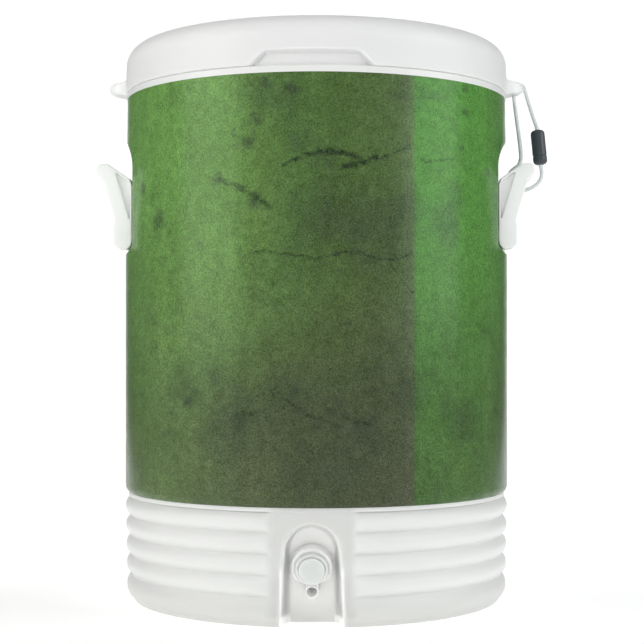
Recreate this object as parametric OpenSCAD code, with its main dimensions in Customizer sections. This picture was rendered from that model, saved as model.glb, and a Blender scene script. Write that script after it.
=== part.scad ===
// Round insulated beverage jug: ribbed base with a recessed push-button spigot,
// printed side wall with finger pockets, screwed side handles and a tethered lid.
// Front is -Y, the tether is on the +X side, and the underside rests on z = 0.

/* [Side wall] */
// Outer radius of the side wall
shell_r = 181; // [175:1:190]
// Outer radius of the side wall at its top edge
shell_top_r = 179.2; // [177:0.1:181]
// Height of the joint between the base and the side wall
shell_z0 = 98; // [96:1:100]
// Height of the side wall's top edge
shell_z1 = 469; // [460:1:475]
// Thickness of the moulded walls
wall = 3; // [2.5:0.1:3.5]

/* [Base] */
// Radius at the bottom of the grooves between ribs
groove_r = 174.5; // [173:0.5:176]
// Outer radius of the foot
foot_r = 171; // [168:0.5:173]
// Height that the middle of the underside stands clear
foot_h = 4; // [3:0.5:5]
// Radius of the smooth panel round the spigot
panel_r = 177.5; // [177:0.1:178.5]
// Half width of the smooth panel
panel_half = 38; // [34:1:42]

/* [Spigot] */
// Tilt of the recess floor and of the spigot from upright, in degrees
tilt = 15; // [12:1:17]
// Distance of the recess floor from the axis, at the underside
floor_y0 = 144; // [143:0.5:146]
// Half width of the recess floor
recess_half = 20.7; // [20:0.1:22]
// Height of the spigot's axis on the recess floor
spigot_z = 54; // [52:0.5:56]
// Button radius
button_r = 11.1; // [10:0.1:11.3]
// Button travel
button_travel = 4.5; // [3:0.5:5]

/* [Tub] */
// Inner radius of the tub
tub_r = 162; // [158:0.5:162]
// Height of the tub's inside floor
tub_floor = 23; // [22:0.5:26]
// Height of the tub's rim
rim_z = 475; // [470:1:480]

/* [Lid] */
// Overall height of the jug
top_z = 520; // [515:1:525]
// Outer radius of the lid at its lower edge
lid_r = 181; // [179:0.5:182]
// Shoulder radius of the lid
shoulder = 20; // [16:1:24]
// Outer radius of the lid's plug
plug_r = 160.4; // [156:0.1:160.6]
// Depth of the plug below the rim
plug_depth = 22; // [16:1:23]

/* [Handles] */
// Half length of the handle along Y
handle_half = 64; // [60:1:66]
// Width of each leg along Y
leg_w = 16; // [14:1:18]
// Height of the handle screws
screw_z = 339.5; // [338:0.5:342]

/* [Tether] */
// Cord diameter
cord_d = 3.8; // [3.4:0.1:4]
// Connector diameter
conn_d = 13.4; // [12:0.1:14]

/* [Hidden] */
$fn = 96;
arc_n = 8;

// Points on an arc about c with radius r, from angle a0 to a1 in n steps
function arc(c, r, a0, a1, n = arc_n) =
    [for (i = [0 : n]) c + r * [cos(a0 + (a1 - a0) * i / n), sin(a0 + (a1 - a0) * i / n)]];

// Arc that bulges outwards between two points of a profile at radius r, by the given height
function bulge(r, z0, z1, h, n = 10) =
    let (half = (z1 - z0) / 2, big = (half * half + h * h) / (2 * h), a = asin(half / big))
    arc([r + h - big, (z0 + z1) / 2], big, -a, a, n);

// ---- base ----
rib_z = [26, 44, 62, 80, shell_z0];
rib_h = [5.6, 5.9, 6.2, 6.5];
low_rib_h = 5.2;
foot_w = 15;
cavity_r = 170.5;
lip_r = shell_r - wall;
lip_h = 12;
lip_t = 2.5;
big = 200;
panel_z0 = 8;
flank_y0 = -160;
flank_y1 = -190;
flank_in = 4;
flank_out = 10;
scoop_y = -212;
scoop_z = 34;
scoop_r = 40;
port_y = 60;
port_r = 9;
port_cap_r = 12;
port_cap_t = 1.5;
foot_round = [2.4, 1.4];
lip_root = 4;

// ---- side wall ----
turn_in_r = 8;
turn_in_z = 10;
taper_z = 324;

// ---- handle pockets: the floor is a wide arc about a far axis ----
pocket_x = 171;
pocket_floor_r = 600;
pocket_z0 = 334;
pocket_z1 = 402;
scoop_top_r = 50;
scoop_low_r = 10;
pocket_sweep = 8;
pocket_out = 22;
pocket_rise = 42;
scoop_end = 124;

// ---- spigot: w runs outwards along the spigot's axis, from the recess floor ----
floor_y = floor_y0 + spigot_z * tan(tilt);
flange_r = 15.2;
flange_w0 = 1.5;
flange_w1 = 4;
barrel_r = 13.7;
barrel_w = 18;
bore_r = button_r + 0.3;
cavity_w = 9;
shank_r = 11;
shank_hole_r = shank_r + 0.2;
shank_bore = 7.5;
shank_w = -25;
hood_r0 = 14.9;
hood_r1 = 17.3;
hood_w = 14;
hood_cut_half = 14;
hood_cut_v = -12;
spout_r = 6;
spout_v = -21.5;
spout_lip = 3.5;
spout_w = 15;
spout_neck = 5.4;
outlet_r = 4.4;
outlet_w = 2.6;
passage_half = 3.9;
passage_w0 = 3;
passage_w1 = 6.8;
stem_r = 2;
stem_fit = 0.06;
guide_w = 7.2;
ring_w0 = 7.6;
ring_w1 = 8.6;
ring_depth = 0.5;
button_stop = 2;
button_w0 = cavity_w + button_travel + button_stop;
button_w1 = 20;
button_pocket_r = 8;
button_pocket_w = 18;
liner_gap = 13.5;
seal_t = 4;
seal_r = 9.5;
stem_head_r = 4;
stem_head_t = 1.5;
nut_t = 4.5;
nut_r = 17;
gasket_t = 1.5;
nut_gasket_r = 16;
button_hub_r = 3.6;
button_edge = 0.6;
spring_r = 6;
spring_wire = 0.8;
spring_turns = 4.5;
spring_w0 = cavity_w + spring_wire / 2;
spring_w1 = button_pocket_w - spring_wire / 2;
spring_steps = 60;

// ---- tub ----
flange_t = 3;
flange_out = 179.6;
tub_corner = 8;
flange_step = 4;
cutter_h = 40;

// ---- lid ----
lid_wall = 3;
lid_draft = 0.6;
lid_band = 3;
dish_bank = 8;
plug_wall = 4;
plug_edge = 1;
ear_tip = 198;
ear_half = 15;
ear_h = 12;
ear_edge = 5;
ear_root = lid_r - 6;
ear_gap = 0.3;
ear_flat = 9;
ear_fillet = [9, 5, 4];
ear_bevel = 0.6;
bend_c = [193.6, 481.4];
bend_r = 5.1;
bend_out = 12;
bend_from = -5;
hole_x = 188.5;
hole_r = 2.6;
grip_half_low = 53;
grip_half_top = 40.5;
grip_h = 12;
grip_in = 5.5;
dish_r = 138;
dish_h = 3;
gasket_z = 468;
gasket_r = 1.7;
bead = 0.9;
plate = 2.5;

// ---- handles: r and z of the leg's outline ----
leg_outline = [
    [169.3, 334], [170.6, 330], [173, 326.6], [180.4, 327.2], [184.9, 331], [185.1, 349], [183.7, 352.6],
    [187.5, 366.3], [191, 377.8], [194.9, 390.6], [199.4, 394.4], [200.9, 398], [200.2, 402.4],
    [197.6, 405.4], [190.4, 405.4], [171.3, 391.6], [169.3, 385.5]
];
web_cut = [[170.9, 351.5], [183, 396.5], [188.6, 402], [172, 389.9], [170.9, 385.3]];
web_t = 5;
grip_c = [194.3, 397.8];
grip_r = 7.6;
screw_y = handle_half - leg_w / 2;
pad_r = 6.5;
pad_x = 160;
pad_t = 12;
pad_out = 30;
pad_z = [300, 380];
bore_screw = 3.7;
screw_head_r = 3.5;
screw_r = 2.5;
screw_seat = 177;
screw_tip = 161;
screw_head_h = 2.6;
slot_half = 2;
slot_w = 1;
slot_depth = 1.4;
insert_r = 5;
insert_face = 164.8;

// ---- tether: route of the cord in the plane y = 0, as x and z ----
cord_route = [
    [213.2, 416.6], [213.6, 411], [214.8, 405], [214.6, 399], [211.8, 393.6], [207, 389.8], [201.4, 387.4],
    [195, 386.6], [189, 388.2], [184.8, 392.6], [183.7, 398.6], [185.6, 404.2], [189.6, 407.6],
    [193.2, 411], [194.9, 416], [195, 422], [193, 440], [190.6, 458], [188.6, 474], [188.5, 481],
    [189.9, 485], [193.6, 486.7], [197.1, 485.2], [198.8, 482], [201.4, 473.4], [205.8, 459], [210.1, 446.2],
    [211, 438.4]
];
conn_foot = [213.8, 410.6];
conn_len = 33.4;
conn_lean = 5.6;
conn_round = 4.2;
conn_split = 8.4;
conn_groove = 0.5;
cord_sides = 8;
conn_bore = 6.4;
conn_bore_r = cord_d / 2 + 0.7;
conn_neck = 0.8;

// ---------------------------------------------------------------- shared shapes

module revolve(points) {
    rotate_extrude($fn = 128) polygon(points);
}

// Frame of the spigot: x across, y up along the recess floor, z outwards
module at_spigot() {
    translate([0, -floor_y, spigot_z]) rotate([90 + tilt, 0, 0]) children();
}

module tube(r0, r1, w0, w1) {
    translate([0, 0, w0]) difference() {
        cylinder(r = r1, h = w1 - w0);
        translate([0, 0, -1]) cylinder(r = r0, h = w1 - w0 + 2);
    }
}

// Space of the arch-topped recess; grow is added all round for the wall behind it
module recess_space(grow) {
    half = recess_half + grow;
    flare = 7.5;
    rise = 13.5;
    depth = 36;
    fall = 90;
    translate([0, rise, -grow]) {
        cylinder(r1 = half, r2 = half + flare, h = depth);
        rotate([90, 0, 0]) linear_extrude(fall)
            polygon([[-half, 0], [half, 0], [half + flare, depth], [-half - flare, depth]]);
    }
}

// Space of one handle pocket on the +X side
module pocket_space(grow) {
    floor_r = pocket_floor_r - grow;
    edge_r = pocket_floor_r + pocket_out;
    translate([pocket_x - pocket_floor_r, 0, 0]) rotate([0, 0, -pocket_sweep])
        rotate_extrude(angle = 2 * pocket_sweep, $fn = 720)
            polygon(concat(
                arc([floor_r + scoop_low_r, pocket_z0 - grow], scoop_low_r, 270, 180, 6),
                arc([floor_r + scoop_top_r, pocket_z1 + grow / 2], scoop_top_r, 180, scoop_end, 9),
                [[edge_r, pocket_z1 + pocket_rise], [edge_r, pocket_z0 - scoop_low_r - grow]]
            ));
}

module pocket_pair(grow) {
    pocket_space(grow);
    mirror([1, 0, 0]) pocket_space(grow);
}

// Everything in front of the tub's flattened face, moved in by the given amount
module front_slope(inset) {
    at_spigot() translate([-big, -big, -liner_gap - inset]) cube([2 * big, 2 * big, big]);
}

// Space of the tub's body: a cup with a rounded floor edge and a sloping flat at the spigot
module tub_body(r, z0, corner, inset) {
    difference() {
        revolve(concat([[0, z0]], arc([r - corner, z0 + corner], corner, 270, 360, 6),
            [[r, rim_z], [0, rim_z]]));
        front_slope(inset);
    }
}

// ---------------------------------------------------------------- body

module rib_solid() {
    ribs = [for (i = [0 : 3]) bulge(groove_r, rib_z[i], rib_z[i + 1], rib_h[i])];
    low = bulge(groove_r, 4, rib_z[0], low_rib_h);
    revolve(concat([[0, 0], [foot_r, 0], [foot_r, 0] + foot_round], low, ribs[0], ribs[1], ribs[2], ribs[3],
        [[0, shell_z0]]));
}

module panel_fill() {
    intersection() {
        translate([0, 0, panel_z0]) cylinder(r = panel_r, h = shell_z0 - panel_z0);
        translate([-panel_half, -big, 0]) cube([2 * panel_half, big, shell_z0]);
    }
}

// Trims the ribs' ends back to the smooth panel with slanted flanks
module panel_trim() {
    difference() {
        translate([0, 0, -1]) linear_extrude(shell_z0 + 2)
            polygon([[-panel_half + flank_in, flank_y0], [panel_half - flank_in, flank_y0],
                [panel_half + flank_out, flank_y1], [-panel_half - flank_out, flank_y1]]);
        translate([0, 0, -2]) cylinder(r = panel_r, h = shell_z0 + 4);
    }
}

module base_outside() {
    difference() {
        union() {
            rib_solid();
            panel_fill();
        }
        panel_trim();
        translate([-big, scoop_y, scoop_z]) rotate([0, 90, 0]) cylinder(r = scoop_r, h = 2 * big);
    }
}

module base_skirt() {
    color("white") difference() {
        union() {
            difference() {
                base_outside();
                translate([0, 0, foot_h + wall]) cylinder(r = cavity_r, h = shell_z0);
            }
            tube(lip_r - lip_t, lip_r, shell_z0 - lip_root, shell_z0 + lip_h);
            intersection() {
                base_outside();
                at_spigot() recess_space(wall);
            }
        }
        difference() {
            translate([0, 0, -1]) cylinder(r = foot_r - foot_w, h = foot_h + 1);
            at_spigot() recess_space(wall);
        }
        at_spigot() recess_space(0);
        at_spigot() translate([0, 0, -wall - 6]) cylinder(r = shank_hole_r, h = wall + 8);
        translate([0, port_y, -1]) cylinder(r = port_r, h = 20);
    }
}

module foam_plug() {
    color("gainsboro") translate([0, port_y, foot_h - port_cap_t]) union() {
        cylinder(r = port_cap_r, h = port_cap_t);
        cylinder(r = port_r, h = port_cap_t + wall);
    }
}

module shell_outside() {
    revolve(concat([[0, shell_z0], [groove_r, shell_z0]],
        arc([shell_r - turn_in_r, shell_z0 + turn_in_z], turn_in_r, 300, 360, 6),
        [[shell_r, taper_z], [shell_top_r, shell_z1], [0, shell_z1]]));
}

module outer_shell() {
    color("forestgreen") difference() {
        shell_outside();
        pocket_pair(0);
        difference() {
            translate([0, 0, shell_z0 - 1]) cylinder(r = lip_r, h = shell_z1);
            pocket_pair(wall);
        }
        for (sx = [-1, 1], sy = [-1, 1])
            translate([0, sy * screw_y, screw_z]) rotate([0, sx * 90, 0]) cylinder(r = screw_r, h = big);
    }
}

module inner_liner() {
    color("white") difference() {
        union() {
            tub_body(tub_r + wall, tub_floor - wall, tub_corner + wall, 0);
            revolve([[tub_r, rim_z - flange_t], [flange_out - flange_step, rim_z - flange_t],
                [flange_out - flange_step, shell_z1],
                [flange_out, shell_z1], [flange_out, rim_z - 1], [flange_out - 1, rim_z], [tub_r, rim_z]]);
        }
        tub_body(tub_r, tub_floor, tub_corner, wall);
        translate([0, 0, rim_z - 1]) cylinder(r = tub_r, h = 2);
        at_spigot() translate([0, 0, -cutter_h]) cylinder(r = shank_hole_r, h = cutter_h);
    }
}

module wall_foam() {
    color("khaki") difference() {
        union() {
            difference() {
                translate([0, 0, foot_h + wall]) cylinder(r = cavity_r, h = shell_z0 - foot_h - wall);
                at_spigot() recess_space(wall);
            }
            translate([0, 0, shell_z0]) cylinder(r = lip_r - lip_t, h = lip_h);
            difference() {
                translate([0, 0, shell_z0 + lip_h])
                    cylinder(r = lip_r, h = rim_z - flange_t - shell_z0 - lip_h);
                pocket_pair(wall);
            }
        }
        tub_body(tub_r + wall, tub_floor - wall, tub_corner + wall, 0);
        tube(flange_out - flange_step, big, shell_z1, rim_z);
        at_spigot() translate([0, 0, -cutter_h]) cylinder(r = shank_hole_r, h = 2 * cutter_h);
        insert_spaces();
    }
}

// ---------------------------------------------------------------- lid

module grip_space(grow) {
    for (a = [0, 180]) rotate([0, 0, a]) intersection() {
        translate([0, 0, rim_z]) rotate([90, 0, 0]) linear_extrude(big)
            polygon([[-grip_half_low - grow, -1], [grip_half_low + grow, -1],
                [grip_half_top + grow, grip_h + grow], [-grip_half_top - grow, grip_h + grow]]);
        tube(lid_r - grip_in - grow, big, rim_z - 1, rim_z + grip_h + grow + 1);
    }
}

// One ear on the +X side, with rounded edges
module ear() {
    translate([0, 0, rim_z]) intersection() {
        rotate([90, 0, 0]) translate([0, 0, -ear_half]) linear_extrude(2 * ear_half)
            polygon(concat([[ear_root, ear_gap], [ear_tip - ear_flat, ear_gap]],
                arc([ear_tip - ear_edge, ear_h - ear_edge - ear_bevel], ear_edge, 300, 450, 8),
                [[ear_root + ear_fillet[0], ear_h], [ear_root + ear_fillet[1], ear_h + ear_fillet[2]],
                    [ear_root, ear_h + ear_fillet[2]]]));
        union() {
            translate([ear_tip - ear_half, 0, 0]) cylinder(r = ear_half, h = 2 * ear_h);
            translate([ear_root, -ear_half, 0])
                cube([ear_tip - ear_half - ear_root, 2 * ear_half, 2 * ear_h]);
        }
    }
}

// The cord's way through an ear: a hole and a channel over the tip
module cord_way() {
    translate([hole_x, 0, rim_z - 1]) cylinder(r = hole_r, h = ear_h + 4);
    translate([bend_c[0] + bend_r - hole_r, -hole_r, rim_z - 1])
        cube([bend_out, 2 * hole_r, bend_c[1] - rim_z + 1]);
    translate([bend_c[0], 0, bend_c[1]]) rotate([90, 0, 0]) difference() {
        translate([0, 0, -hole_r]) cylinder(r = bend_out, h = 2 * hole_r);
        translate([0, 0, -hole_r - 1]) cylinder(r = bend_r - hole_r, h = 2 * hole_r + 2);
        translate([-big / 2, -big, -hole_r - 1]) cube([big, big, 2 * hole_r + 2]);
        translate([bend_from - big, -big / 2, -hole_r - 1]) cube([big, big, 2 * hole_r + 2]);
    }
}

module lid_outside() {
    revolve(concat(
        [[0, rim_z], [lid_r, rim_z], [lid_r, rim_z + lid_band], [lid_r - lid_draft, top_z - shoulder]],
        arc([lid_r - lid_draft - shoulder, top_z - shoulder], shoulder, 0, 90, 10),
        [[dish_r + dish_bank, top_z], [dish_r, top_z - dish_h], [0, top_z - dish_h]]));
}

module lid_hollow() {
    in_r = lid_r - lid_draft - lid_wall;
    difference() {
        revolve(concat([[0, rim_z - 1], [in_r, rim_z - 1]],
            arc([in_r - shoulder + lid_wall, top_z - shoulder], shoulder - lid_wall, 0, 90, 8),
            [[dish_r + dish_bank + 2, top_z - lid_wall], [dish_r + 1, top_z - dish_h - lid_wall],
                [0, top_z - dish_h - lid_wall]]));
        grip_space(lid_wall);
    }
}

module lid_shell() {
    color("white") difference() {
        union() {
            lid_outside();
            ear();
            mirror([1, 0, 0]) ear();
        }
        grip_space(0);
        lid_hollow();
        cord_way();
    }
}

module lid_liner() {
    in_r = lid_r - lid_draft - lid_wall;
    color("whitesmoke") difference() {
        union() {
            difference() {
                translate([0, 0, rim_z]) cylinder(r = in_r, h = plate);
                grip_space(lid_wall);
            }
            revolve([[0, rim_z - plug_depth], [plug_r - plug_wall, rim_z - plug_depth],
                [plug_r - plug_edge, rim_z - plug_depth + plug_wall],
                [plug_r, rim_z - plug_wall], [plug_r, rim_z + 1], [0, rim_z + 1]]);
        }
        translate([0, 0, rim_z - plug_depth + plate])
            cylinder(r = plug_r - plug_wall, h = plug_depth + plate);
        tube(plug_r - gasket_r, big, gasket_z - gasket_r, gasket_z + gasket_r);
    }
}

module lid_foam() {
    color("khaki") union() {
        intersection() {
            lid_hollow();
            translate([0, 0, rim_z + plate]) cylinder(r = big, h = 60);
        }
        translate([0, 0, rim_z - plug_depth + plate]) cylinder(r = plug_r - plug_wall, h = plug_depth);
    }
}

module lid_gasket() {
    color("dimgray") rotate_extrude($fn = 128) union() {
        translate([plug_r - gasket_r, gasket_z - gasket_r]) square([gasket_r, 2 * gasket_r]);
        translate([plug_r, gasket_z]) intersection() {
            circle(r = bead, $fn = 24);
            translate([0, -2]) square([2, 4]);
        }
    }
}

// ---------------------------------------------------------------- handles

module leg() {
    difference() {
        rotate([90, 0, 0]) linear_extrude(leg_w) polygon(leg_outline);
        for (y = [1, -leg_w + (leg_w - web_t) / 2])
            translate([0, y, 0]) rotate([90, 0, 0]) linear_extrude((leg_w - web_t) / 2 + 1) polygon(web_cut);
    }
}

// The handle on the +X side
module handle() {
    difference() {
        union() {
            translate([0, handle_half, 0]) leg();
            translate([0, -handle_half + leg_w, 0]) leg();
            translate([grip_c[0], handle_half - 1, grip_c[1]]) rotate([90, 0, 0])
                cylinder(r = grip_r, h = 2 * handle_half - 2);
            for (sy = [-1, 1]) intersection() {
                translate([pad_x, sy * screw_y, screw_z]) rotate([0, 90, 0]) cylinder(r = pad_r, h = pad_t);
                translate([pocket_x - pocket_floor_r, 0, 0])
                    tube(pocket_floor_r, pocket_floor_r + pad_out, pad_z[0], pad_z[1]);
            }
        }
        for (sy = [-1, 1]) translate([0, sy * screw_y, screw_z]) rotate([0, 90, 0]) {
            cylinder(r = screw_r, h = big);
            translate([0, 0, screw_seat]) cylinder(r = bore_screw, h = 20);
        }
    }
}

module handle_right() {
    color("white") handle();
}

module handle_left() {
    color("white") mirror([1, 0, 0]) handle();
}

module handle_screws() {
    color("silver") for (sx = [-1, 1], sy = [-1, 1])
        translate([0, sy * screw_y, screw_z]) rotate([0, sx * 90, 0]) difference() {
            union() {
                translate([0, 0, screw_tip]) cylinder(r = screw_r, h = screw_seat - screw_tip);
                translate([0, 0, screw_seat]) cylinder(r = screw_head_r, h = screw_head_h);
            }
            for (a = [0, 90]) rotate([0, 0, a])
                translate([-slot_half, -slot_w / 2, screw_seat + screw_head_h - slot_depth])
                    cube([2 * slot_half, slot_w, slot_depth + 1]);
        }
}

// One threaded insert, from its tip to the shell wall
module insert_blank() {
    translate([0, 0, screw_tip - 1]) cylinder(r = insert_r, h = insert_face - screw_tip + 1);
}

module insert_spaces() {
    for (sx = [-1, 1], sy = [-1, 1])
        translate([0, sy * screw_y, screw_z]) rotate([0, sx * 90, 0]) {
            insert_blank();
            translate([0, 0, insert_face - 1]) cylinder(r = screw_r, h = 10);
        }
}

module handle_inserts() {
    color("goldenrod") for (sx = [-1, 1], sy = [-1, 1])
        translate([0, sy * screw_y, screw_z]) rotate([0, sx * 90, 0]) difference() {
            insert_blank();
            translate([0, 0, screw_tip - 4]) cylinder(r = screw_r, h = 20);
        }
}

// ---------------------------------------------------------------- spigot

module spigot_body() {
    color("white") at_spigot() difference() {
        union() {
            translate([0, 0, shank_w]) cylinder(r = shank_r, h = flange_w1 - shank_w);
            translate([0, 0, flange_w0]) cylinder(r = flange_r, h = flange_w1 - flange_w0);
            translate([0, 0, flange_w0]) cylinder(r = barrel_r, h = barrel_w - flange_w0);
            difference() {
                translate([0, 0, flange_w0]) cylinder(r = hood_r1, h = hood_w - flange_w0);
                translate([0, 0, flange_w1]) cylinder(r = hood_r0, h = hood_w);
                translate([-hood_cut_half, hood_cut_v - 20, 0]) cube([2 * hood_cut_half, 20, hood_w + 1]);
            }
            translate([0, spout_v, flange_w0]) cylinder(r = spout_r, h = spout_w - flange_w0);
            translate([0, spout_v - spout_lip, flange_w0])
                cylinder(r = spout_r - 1, h = spout_w - 3 - flange_w0);
            translate([-spout_neck, spout_v, flange_w0])
                cube([2 * spout_neck, -spout_v, spout_w - 2 - flange_w0]);
        }
        translate([0, 0, shank_w - 1]) cylinder(r = shank_bore, h = guide_w - shank_w + 1);
        translate([0, 0, cavity_w]) cylinder(r = bore_r, h = barrel_w);
        cylinder(r = stem_r + stem_fit, h = 20);
        translate([0, 0, ring_w0]) cylinder(r = stem_r + ring_depth, h = ring_w1 - ring_w0);
        translate([-passage_half, spout_v, passage_w0])
            cube([2 * passage_half, -spout_v, passage_w1 - passage_w0]);
        translate([0, spout_v, outlet_w]) cylinder(r = outlet_r, h = 20);
    }
}

module spigot_button() {
    color("whitesmoke") at_spigot() difference() {
        union() {
            translate([0, 0, button_w0]) cylinder(r = button_r, h = button_w1 - button_w0 - button_edge);
            translate([0, 0, button_w1 - button_edge])
                cylinder(r1 = button_r, r2 = button_r - button_edge, h = button_edge);
        }
        difference() {
            translate([0, 0, button_w0 - 1])
                cylinder(r = button_pocket_r, h = button_pocket_w - button_w0 + 1);
            translate([0, 0, button_w0 - 2]) cylinder(r = button_hub_r, h = 10);
        }
        translate([0, 0, button_w0 - 1]) cylinder(r = stem_r, h = button_pocket_w - button_w0 + 1);
    }
}

module spigot_stem() {
    color("silver") at_spigot() union() {
        translate([0, 0, shank_w - seal_t]) cylinder(r = stem_r, h = button_pocket_w - shank_w + seal_t);
        translate([0, 0, shank_w - seal_t - stem_head_t]) cylinder(r = stem_head_r, h = stem_head_t);
    }
}

module valve_seal() {
    color("dimgray") at_spigot() tube(stem_r, seal_r, shank_w - seal_t, shank_w);
}

module stem_o_ring() {
    color("dimgray") at_spigot() tube(stem_r + stem_fit, stem_r + ring_depth, ring_w0, ring_w1);
}

module outer_gasket() {
    color("dimgray") at_spigot() tube(shank_r, flange_r, 0, flange_w0);
}

module inner_gasket() {
    color("dimgray") at_spigot() tube(shank_r, nut_gasket_r, -liner_gap - wall - gasket_t, -liner_gap - wall);
}

module lock_nut() {
    w1 = -liner_gap - wall - gasket_t;
    color("white") at_spigot() difference() {
        translate([0, 0, w1 - nut_t]) cylinder(r = nut_r, h = nut_t, $fn = 6);
        translate([0, 0, w1 - nut_t - 1]) cylinder(r = shank_r, h = nut_t + 2);
    }
}

// A tube of rings: centres, and each ring's two unit directions, swept into one closed solid
module sweep(centres, sides_u, sides_v, r, n) {
    m = len(centres);
    points = [for (i = [0 : m - 1], k = [0 : n - 1])
        centres[i] + r * (cos(360 * k / n) * sides_u[i] + sin(360 * k / n) * sides_v[i])];
    walls = [for (i = [0 : m - 2], k = [0 : n - 1])
        [i * n + k, i * n + (k + 1) % n, (i + 1) * n + (k + 1) % n, (i + 1) * n + k]];
    ends = [[for (k = [n - 1 : -1 : 0]) k], [for (k = [0 : n - 1]) (m - 1) * n + k]];
    polyhedron(points = points, faces = concat(walls, ends), convexity = 6);
}

module spigot_spring() {
    turn = [for (i = [0 : spring_steps]) 360 * spring_turns * i / spring_steps];
    centres = [for (i = [0 : spring_steps]) [spring_r * cos(turn[i]), spring_r * sin(turn[i]),
        spring_w0 + (spring_w1 - spring_w0) * i / spring_steps]];
    outwards = [for (a = turn) [cos(a), sin(a), 0]];
    upwards = [for (a = turn) [0, 0, 1]];
    color("silver") at_spigot() sweep(centres, upwards, outwards, spring_wire / 2, cord_sides);
}

// ---------------------------------------------------------------- tether

// Point on a smooth curve through the route, at t from 0 to the last index
function spline(p, t) =
    let (n = len(p) - 1, i = min(floor(t), n - 1), u = t - i,
        a = p[max(i - 1, 0)], b = p[i], c = p[i + 1], d = p[min(i + 2, n)])
    0.5 * ((2 * b) + (c - a) * u + (2 * a - 5 * b + 4 * c - d) * u * u
        + (3 * b - a - 3 * c + d) * u * u * u);

module tether_cord() {
    steps = 2 * (len(cord_route) - 1);
    flat = [for (i = [0 : steps]) spline(cord_route, i / 2)];
    heading = [for (i = [0 : steps]) let (d = flat[min(i + 1, steps)] - flat[max(i - 1, 0)]) d / norm(d)];
    centres = [for (p = flat) [p[0], 0, p[1]]];
    across = [for (d = heading) [d[1], 0, -d[0]]];
    along_y = [for (d = heading) [0, 1, 0]];
    color("ivory") sweep(centres, along_y, across, cord_d / 2, cord_sides);
}

module at_connector() {
    translate([conn_foot[0], 0, conn_foot[1]]) rotate([0, -conn_lean, 0]) children();
}

// Barrel outline from its axis outwards, rounded at the end towards z1
module barrel_part(z0, z1, turned) {
    r = conn_d / 2;
    points = concat([[0, 0], [r, 0]], arc([r - conn_round, z1 - z0 - conn_round], conn_round, 0, 90, 6),
        [[0, z1 - z0]]);
    translate([0, 0, turned ? z1 : z0]) mirror([0, 0, turned ? 1 : 0])
        rotate_extrude($fn = 48) polygon(points);
}

module connector_cap() {
    color("black") at_connector() difference() {
        barrel_part(0, conn_split, true);
        translate([0, 0, -1]) cylinder(r = conn_bore_r, h = conn_bore + 1);
    }
}

module connector_body() {
    color("black") at_connector() difference() {
        union() {
            barrel_part(conn_split + conn_groove, conn_len, false);
            translate([0, 0, conn_split]) cylinder(r = conn_d / 2 - conn_neck, h = 1);
        }
        translate([0, 0, conn_len - conn_bore]) cylinder(r = conn_bore_r, h = conn_bore + 1);
    }
}

outer_shell();
base_skirt();
foam_plug();
inner_liner();
wall_foam();
lid_shell();
lid_liner();
lid_foam();
lid_gasket();
handle_left();
handle_right();
handle_screws();
handle_inserts();
spigot_body();
spigot_button();
spigot_stem();
spigot_spring();
valve_seal();
stem_o_ring();
outer_gasket();
inner_gasket();
lock_nut();
tether_cord();
connector_body();
connector_cap();
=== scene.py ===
"""The looks of a round insulated beverage jug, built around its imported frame. Units are metres."""
import math

import bmesh
import bpy
import numpy as np
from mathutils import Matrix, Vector


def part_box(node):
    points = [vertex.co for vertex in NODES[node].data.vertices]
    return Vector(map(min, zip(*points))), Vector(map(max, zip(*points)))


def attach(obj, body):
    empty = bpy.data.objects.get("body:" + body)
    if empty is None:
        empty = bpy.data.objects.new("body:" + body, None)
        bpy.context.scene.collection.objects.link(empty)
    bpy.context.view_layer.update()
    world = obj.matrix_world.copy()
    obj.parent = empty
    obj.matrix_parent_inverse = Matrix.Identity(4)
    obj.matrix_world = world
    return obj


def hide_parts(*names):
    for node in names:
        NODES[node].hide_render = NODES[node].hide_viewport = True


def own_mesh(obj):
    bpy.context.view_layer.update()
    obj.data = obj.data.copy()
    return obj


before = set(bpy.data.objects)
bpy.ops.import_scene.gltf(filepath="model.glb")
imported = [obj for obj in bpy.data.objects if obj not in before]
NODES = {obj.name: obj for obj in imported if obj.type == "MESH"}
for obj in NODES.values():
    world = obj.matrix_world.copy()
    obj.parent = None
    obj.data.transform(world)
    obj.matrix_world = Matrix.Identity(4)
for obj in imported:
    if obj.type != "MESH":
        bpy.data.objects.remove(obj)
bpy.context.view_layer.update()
MM = 0.001

SHELL_LOW, SHELL_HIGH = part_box("outer_shell")
LID_LOW, LID_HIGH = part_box("lid_shell")
SHELL_R = SHELL_HIGH.y
SEAM_Z = 98 * MM
SHELL_TOP = SHELL_HIGH.z
LID_R = LID_HIGH.y
WALL = 3 * MM


# ---------------------------------------------------------------- camera

CAMERA_DISTANCE = 1.470
CAMERA_HEIGHT = 0.240
CAMERA_TURN = math.radians(1.3)
CAMERA_LENS = 85.9
CAMERA_SHIFT = (0.0087, 0.034)


def add_camera():
    data = bpy.data.cameras.new("camera")
    data.lens = CAMERA_LENS
    data.shift_x, data.shift_y = CAMERA_SHIFT
    camera = bpy.data.objects.new("camera", data)
    camera.location = (CAMERA_DISTANCE * math.sin(CAMERA_TURN),
                       -CAMERA_DISTANCE * math.cos(CAMERA_TURN), CAMERA_HEIGHT)
    camera.rotation_euler = (math.pi / 2, 0, CAMERA_TURN)
    bpy.context.scene.collection.objects.link(camera)
    bpy.context.scene.camera = camera


# ---------------------------------------------------------------- node materials

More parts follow.
